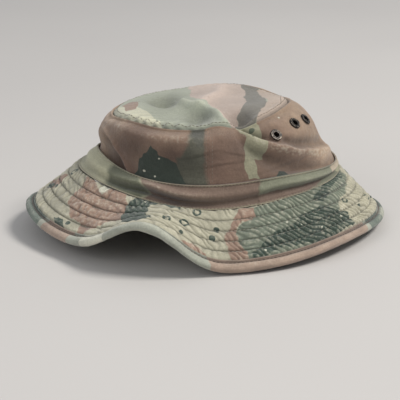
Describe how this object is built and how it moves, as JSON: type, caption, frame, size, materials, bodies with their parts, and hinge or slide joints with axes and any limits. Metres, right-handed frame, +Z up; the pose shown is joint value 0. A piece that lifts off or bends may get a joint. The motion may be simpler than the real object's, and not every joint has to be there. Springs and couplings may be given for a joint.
{
  "type": "boonie hat",
  "caption": "Soft field hat with an oval crown, a dented flat tip, a plain hat band, eyelet vents and a wide quilted brim with a bound, wavy edge.",
  "frame": {"origin": "centre of the head opening, at the mean height of the crown-to-brim seam", "axes": "+Z up, -Y the front of the hat, +X the wearer's left"},
  "size_m": [0.2875, 0.3052, 0.1071],
  "materials": {
    "camouflage_wall": "ripstop cotton, printed in brown, dark green and khaki",
    "camouflage_tip": "ripstop cotton, printed in pale green, pink and grey",
    "camouflage_band": "printed cotton strip, khaki to brown",
    "camouflage_brim": "printed cotton, quilted, cream, brown and dark green",
    "camouflage_binding": "printed cotton tape, grey-green and pink",
    "interlining_cloth": "stiff unbleached interlining",
    "sweatband_cloth": "plain olive cotton",
    "seam_tape": "plain olive cotton tape",
    "sewing_thread": "spun polyester thread",
    "label_ribbon": "blank woven ribbon",
    "blackened_metal": "blackened brass, worn bright on the rim",
    "blackened_washer": "blackened brass"
  },
  "bodies": {
    "hat": {"binding_stitch_top": "sewing_thread", "binding_stitch_under": "sewing_thread", "brim_binding": "camouflage_binding", "brim_interlining": "interlining_cloth", "brim_lower": "camouflage_brim", "brim_upper": "camouflage_brim", "crown_side_front": "camouflage_wall", "crown_side_rear": "camouflage_wall", "crown_tip": "camouflage_tip", "eyelet_washers_left": "blackened_washer", "eyelet_washers_right": "blackened_washer", "eyelets_left": "blackened_metal", "eyelets_right": "blackened_metal", "hat_band": "camouflage_band", "hat_band_lower_stitch": "sewing_thread", "hat_band_upper_stitch": "sewing_thread", "label_hem": "label_ribbon", "label_stitch": "sewing_thread", "quilting_row_1_top": "sewing_thread", "quilting_row_1_under": "sewing_thread", "quilting_row_2_top": "sewing_thread", "quilting_row_2_under": "sewing_thread", "quilting_row_3_top": "sewing_thread", "quilting_row_3_under": "sewing_thread", "quilting_row_4_top": "sewing_thread", "quilting_row_4_under": "sewing_thread", "side_seam_stitch_left": "sewing_thread", "side_seam_stitch_right": "sewing_thread", "side_seam_tape_left": "seam_tape", "side_seam_tape_right": "seam_tape", "sweatband": "sweatband_cloth", "sweatband_stitch": "sewing_thread", "tip_seam_stitch": "sewing_thread", "tip_seam_tape": "seam_tape"},
    "label": {"size_label": "label_ribbon"}
  },
  "joints": [
    {"name": "label_fold", "type": "hinge", "parent": "hat", "child": "label", "pos_m": [0, 0.0615, 0.045], "axis": [-1, 0, 0], "range_deg": [-50, 100]}
  ]
}
